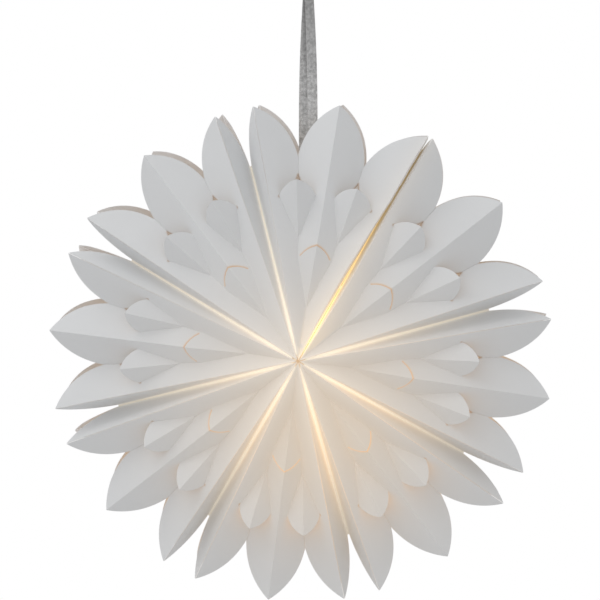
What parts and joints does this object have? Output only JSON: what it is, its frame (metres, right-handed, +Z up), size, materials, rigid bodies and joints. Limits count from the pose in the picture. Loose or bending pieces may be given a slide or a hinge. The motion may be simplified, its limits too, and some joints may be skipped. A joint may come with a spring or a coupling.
{
  "type": "star pendant lantern",
  "caption": "Flat folded paper star lantern with pleated petals on both sides, lit by a screw-in lamp inside and hung on a velvet ribbon from a screw hook.",
  "frame": {"origin": "centre of the hook's flange where it meets the ceiling", "axes": "+Z up along the hook's screw, -Y the front of the star, +X to the viewer's right"},
  "size_m": [0.4958, 0.1206, 0.7027],
  "materials": {
    "star_paper": "matt folded lantern paper",
    "rib_paper": "matt glued ribs",
    "velvet": "short velvet pile",
    "steel": "zinc plated",
    "brass": "satin",
    "magnet": "nickel plated",
    "white_plastic": "moulded, fine satin",
    "core_ceramic": "unglazed",
    "cap_metal": "rolled thread",
    "dark_insulator": "glossy",
    "opal_globe": "opal diffuser",
    "board": "white coated board",
    "led_chip": "phosphor"
  },
  "bodies": {
    "ceiling_hook": {"ceiling_hook": "steel"},
    "ribbon_loop": {"ribbon_loop": "velvet"},
    "ribbon_knot": {"ribbon_knot": "velvet"},
    "lamp_base": {"lamp_screw_cap": "cap_metal", "lamp_cap_insulator": "dark_insulator", "lamp_contact": "cap_metal"},
    "lamp_head": {"lamp_collar": "white_plastic", "lamp_globe": "opal_globe", "led_plate": "board", "led_chips": "led_chip"},
    "star": {"centre_contact": "brass", "closing_magnets": "magnet", "closing_rib_lower": "rib_paper", "closing_rib_upper": "rib_paper", "front_leaf_1": "star_paper", "front_leaf_2": "star_paper", "front_leaf_3": "star_paper", "front_leaf_4": "star_paper", "front_leaf_5": "star_paper", "front_leaf_6": "star_paper", "front_leaf_7": "star_paper", "front_leaf_8": "star_paper", "gland_nut": "white_plastic", "hanger_rod": "steel", "hanging_ribbon": "velvet", "holder_cap": "white_plastic", "holder_core": "core_ceramic", "holder_shell": "white_plastic", "lamp_bracket": "steel", "rear_leaf_1": "star_paper", "rear_leaf_2": "star_paper", "rear_leaf_3": "star_paper", "rear_leaf_4": "star_paper", "rear_leaf_5": "star_paper", "rear_leaf_6": "star_paper", "rear_leaf_7": "star_paper", "rear_leaf_8": "star_paper", "rod_end_beads": "brass", "seam_rib_2": "rib_paper", "seam_rib_3": "rib_paper", "seam_rib_4": "rib_paper", "seam_rib_5": "rib_paper", "seam_rib_6": "rib_paper", "seam_rib_7": "rib_paper", "seam_rib_8": "rib_paper", "socket_sleeve": "brass"}
  },
  "joints": [
    {"name": "swing_sideways", "type": "hinge", "parent": "ceiling_hook", "child": "ribbon_loop", "pos_m": [0, 0, -0.0338], "axis": [0, 1, 0], "range_deg": [-30, 30]},
    {"name": "swing_forwards", "type": "hinge", "parent": "ribbon_loop", "child": "ribbon_knot", "pos_m": [0, 0, -0.0518], "axis": [1, 0, 0], "range_deg": [-30, 30]},
    {"name": "ribbon_twist", "type": "hinge", "parent": "ribbon_knot", "child": "star", "pos_m": [0, 0, -0.0598], "axis": [0, 0, 1], "range_deg": [-180, 180]},
    {"name": "lamp_lower", "type": "slide", "parent": "star", "child": "lamp_base", "axis": [0, 0, -1], "range_m": [0, 0.01411]},
    {"name": "lamp_unscrew", "type": "hinge", "parent": "lamp_base", "child": "lamp_head", "pos_m": [0.0227, 0, -0.4348], "axis": [0, 0, -1], "range_deg": [0, 1800]}
  ],
  "couplings": [
    {"joint": "lamp_lower", "follows": "lamp_unscrew", "m_per_rad": 0.00044882}
  ]
}
